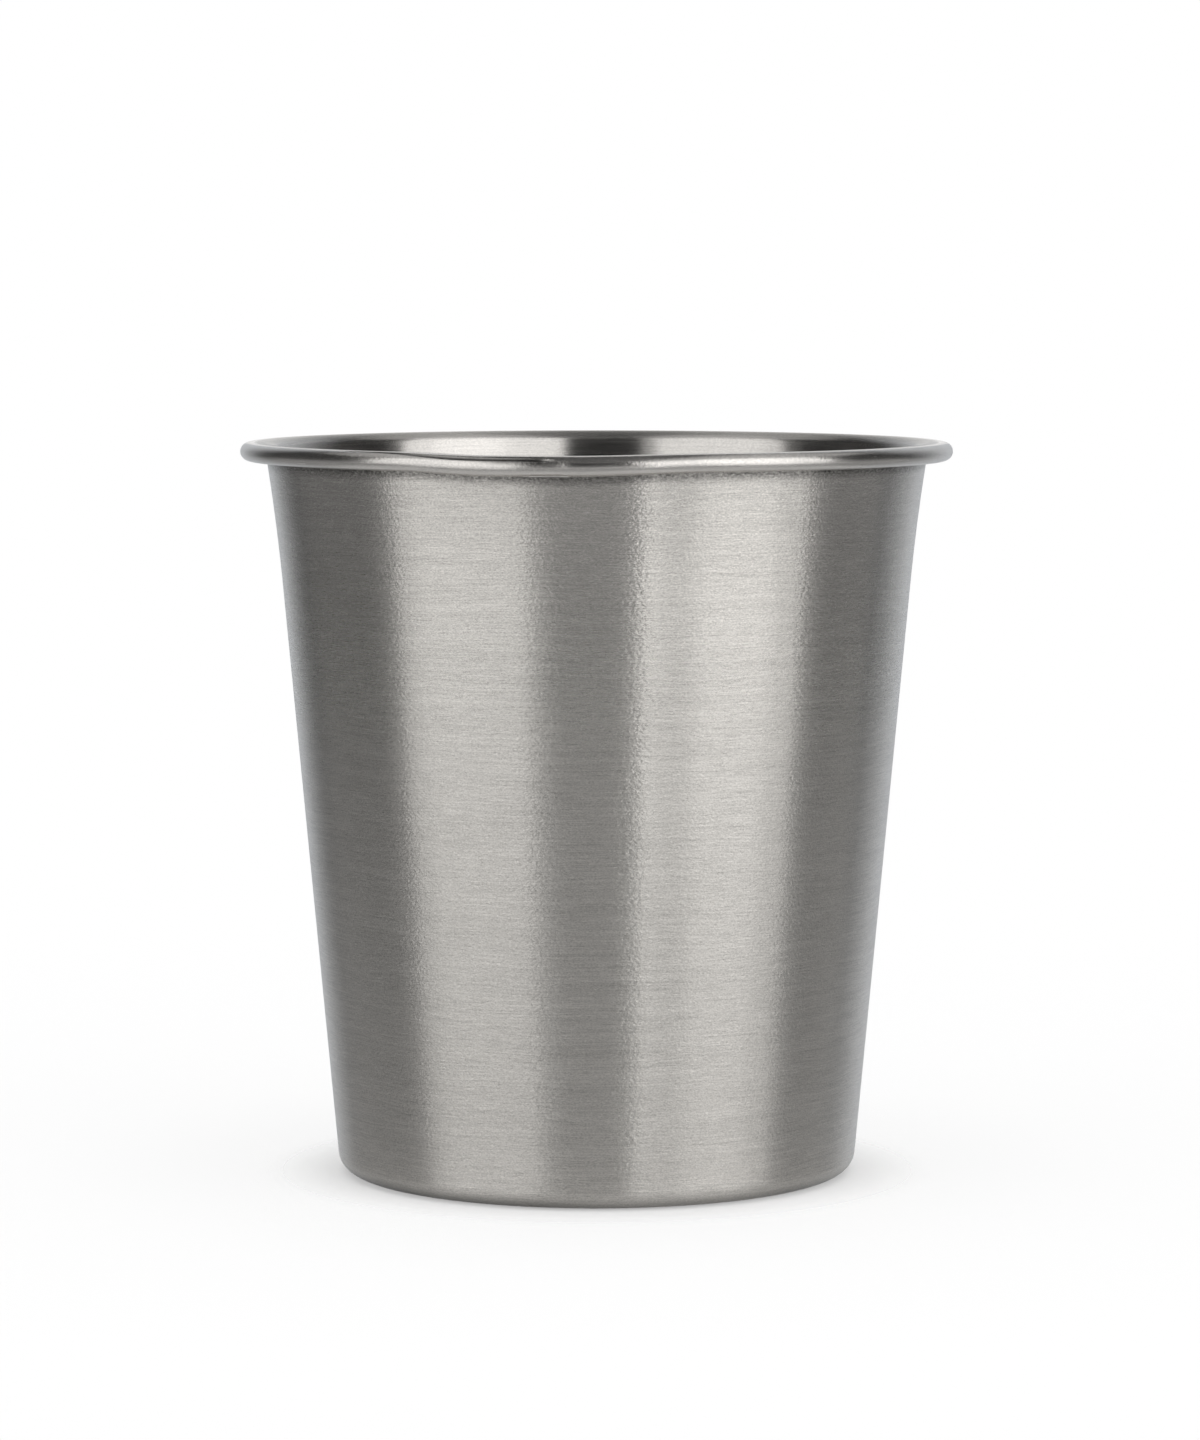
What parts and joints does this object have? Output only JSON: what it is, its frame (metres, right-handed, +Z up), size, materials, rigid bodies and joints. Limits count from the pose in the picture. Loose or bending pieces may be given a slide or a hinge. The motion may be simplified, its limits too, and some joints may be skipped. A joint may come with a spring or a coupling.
{
  "type": "stainless steel cup",
  "caption": "Tapered stainless steel drinking cup with a brushed outer shell, an inner liner rolled over it as a bead rim, and a dished base disc.",
  "frame": {"origin": "on the cup's axis, at the level of the table that the foot stands on", "axes": "+Z up along the cup's axis towards the mouth; the cup is round, so +X and +Y are free"},
  "size_m": [0.08, 0.08, 0.0824],
  "materials": {
    "brushed_shell": "fine horizontal hairline brushing",
    "satin_liner": "satin inside, rolled rim polished",
    "pressed_base": "pressed sheet with faint concentric marks"
  },
  "bodies": {
    "root": {"outer_shell": "brushed_shell", "inner_liner": "satin_liner", "base_disc": "pressed_base"}
  },
  "joints": []
}
